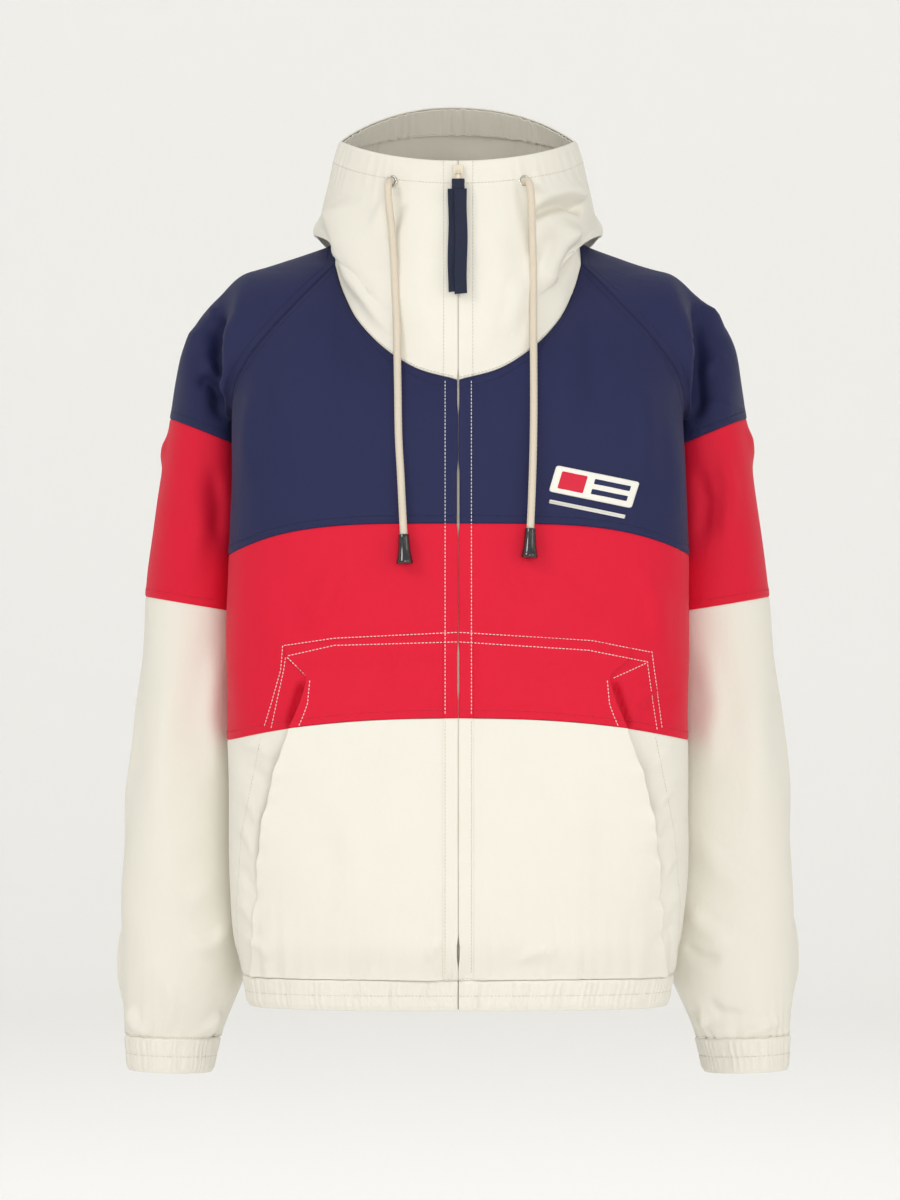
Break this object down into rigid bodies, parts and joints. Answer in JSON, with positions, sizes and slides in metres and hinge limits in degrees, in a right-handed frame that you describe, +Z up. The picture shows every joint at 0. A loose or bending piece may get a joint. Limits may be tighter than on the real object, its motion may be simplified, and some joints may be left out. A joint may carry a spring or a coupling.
{
  "type": "windbreaker jacket",
  "caption": "Hooded raglan windbreaker with colour-blocked shell, full front zip, slanted front pockets, elastic hem and cuffs, and hood drawcords, hollow in its worn shape.",
  "frame": {"origin": "middle of the neck at shoulder level, where the wearer's shoulders carry the jacket", "axes": "+Z up along the zip, -Y out of the front, +X towards the wearer's left"},
  "size_m": [0.584, 0.3099, 0.8423],
  "materials": {
    "navy_cloth": "matte",
    "red_cloth": "matte",
    "cream_cloth": "matte",
    "cream_elastic": "matte",
    "zip_tape": "matte",
    "badge": "matte",
    "cotton_cord": "matte",
    "black_plastic": "glossy",
    "nickel": "polished",
    "zip_enamel": "satin",
    "ribbon": "satin"
  },
  "bodies": {
    "jacket": {"front_navy_L": "navy_cloth", "front_navy_R": "navy_cloth", "back_navy": "navy_cloth", "sleeve_navy_L": "navy_cloth", "sleeve_navy_R": "navy_cloth", "front_red_L": "red_cloth", "front_red_R": "red_cloth", "back_red": "red_cloth", "sleeve_red_L": "red_cloth", "sleeve_red_R": "red_cloth", "pocket_red_L": "red_cloth", "pocket_red_R": "red_cloth", "front_cream_L": "cream_cloth", "front_cream_R": "cream_cloth", "back_cream": "cream_cloth", "sleeve_cream_L": "cream_cloth", "sleeve_cream_R": "cream_cloth", "pocket_cream_L": "cream_cloth", "pocket_cream_R": "cream_cloth", "hood_side_L": "cream_cloth", "hood_side_R": "cream_cloth", "hood_centre": "cream_cloth", "hood_casing": "cream_cloth", "hem_band": "cream_elastic", "cuff_L": "cream_elastic", "cuff_R": "cream_elastic", "zip_tape": "zip_tape", "badge": "badge", "cord_L": "cotton_cord", "cord_R": "cotton_cord", "cord_end_L": "black_plastic", "cord_end_R": "black_plastic", "eyelet_L": "nickel", "eyelet_R": "nickel", "zip_slider": "zip_enamel"},
    "pull": {"pull_tab": "zip_enamel", "pull_ribbon": "ribbon"}
  },
  "joints": [
    {"name": "zip_pull_swing", "type": "hinge", "parent": "jacket", "child": "pull", "pos_m": [0, -0.0955, 0.05927], "axis": [-1, 0, 0], "range_deg": [0, 150]}
  ]
}
